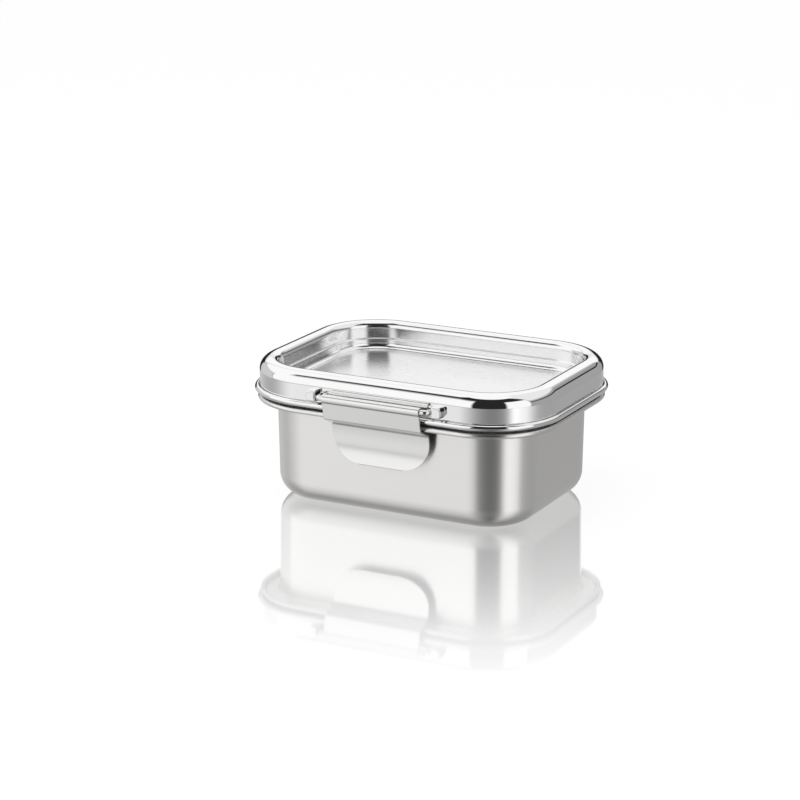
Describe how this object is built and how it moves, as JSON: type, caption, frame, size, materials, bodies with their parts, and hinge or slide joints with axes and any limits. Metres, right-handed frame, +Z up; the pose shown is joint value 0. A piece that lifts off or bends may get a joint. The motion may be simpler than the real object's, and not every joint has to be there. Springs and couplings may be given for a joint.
{
  "type": "lunch box",
  "caption": "Rectangular steel lunch box with rounded corners, a lift-off lid with a recessed top and soft seal, and a wire-hung hook clip on each long side.",
  "frame": {"origin": "middle of the base, on the surface that the box stands on", "axes": "+X along the long side, +Z up, the front clip towards -Y"},
  "size_m": [0.1576, 0.1284, 0.0683],
  "materials": {
    "tub_steel": "satin, deep-drawn stainless steel",
    "lid_steel": "mirror-polished stainless steel",
    "clip_steel": "brushed stainless steel, lines along the clip's width",
    "wire_steel": "drawn and polished stainless wire",
    "seal": "translucent white silicone"
  },
  "bodies": {
    "tub": {"box_tub": "tub_steel"},
    "lid": {"lid_shell": "lid_steel", "lid_seal": "seal"},
    "front_wire": {"front_clip_wire": "wire_steel"},
    "front_clip": {"front_clip": "clip_steel"},
    "rear_wire": {"rear_clip_wire": "wire_steel"},
    "rear_clip": {"rear_clip": "clip_steel"}
  },
  "joints": [
    {"name": "lid_lift", "type": "slide", "parent": "tub", "child": "lid", "axis": [0, 0, 1], "range_m": [0, 0.02]},
    {"name": "front_wire_swing", "type": "hinge", "parent": "lid", "child": "front_wire", "pos_m": [0, -0.0593, 0.0586], "axis": [-1, 0, 0], "range_deg": [0, 60]},
    {"name": "front_clip_swing", "type": "hinge", "parent": "front_wire", "child": "front_clip", "pos_m": [0, -0.0621, 0.0586], "axis": [-1, 0, 0], "range_deg": [0, 110]},
    {"name": "rear_wire_swing", "type": "hinge", "parent": "lid", "child": "rear_wire", "pos_m": [0, 0.0593, 0.0586], "axis": [1, 0, 0], "range_deg": [0, 60]},
    {"name": "rear_clip_swing", "type": "hinge", "parent": "rear_wire", "child": "rear_clip", "pos_m": [0, 0.0621, 0.0586], "axis": [1, 0, 0], "range_deg": [0, 110]}
  ],
  "couplings": [
    {"joint": "front_wire_swing", "follows": "lid_lift", "rad_per_m": 52.358},
    {"joint": "front_clip_swing", "follows": "lid_lift", "rad_per_m": 95.991},
    {"joint": "rear_wire_swing", "follows": "lid_lift", "rad_per_m": 52.358},
    {"joint": "rear_clip_swing", "follows": "lid_lift", "rad_per_m": 95.991}
  ]
}
